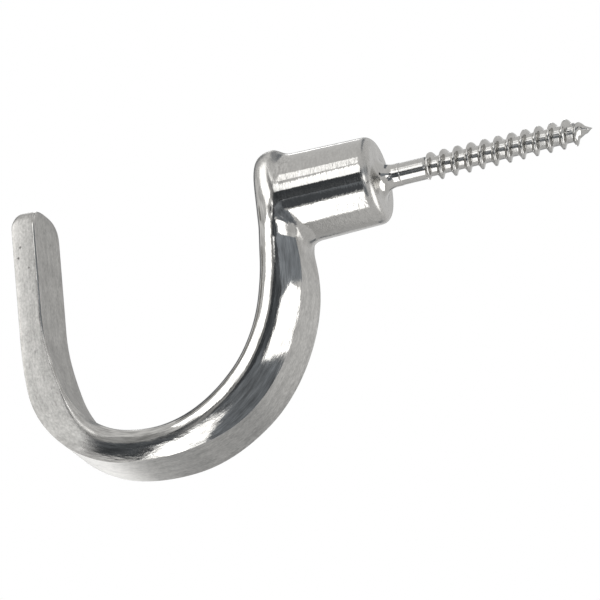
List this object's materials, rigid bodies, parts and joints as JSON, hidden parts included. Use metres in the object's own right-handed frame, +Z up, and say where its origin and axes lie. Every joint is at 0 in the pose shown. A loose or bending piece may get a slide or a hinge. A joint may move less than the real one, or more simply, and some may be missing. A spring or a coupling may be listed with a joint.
{
  "type": "screw hook",
  "caption": "Cast metal J hook whose flat-ground strap runs into a round boss, with a wood screw standing out of the boss's wall face, for hanging coats or gear.",
  "frame": {"origin": "centre of the boss's flat wall face, on the screw's axis", "axes": "+Y runs along the screw into the wall, +Z is up, and the J lies in the YZ plane at X = 0, opening upwards"},
  "size_m": [0.0164, 0.1077, 0.0526],
  "materials": {
    "polished_steel": "polished cast stainless steel, with the flat faces ground to a satin"
  },
  "bodies": {
    "root": {"hook": "polished_steel"}
  },
  "joints": []
}
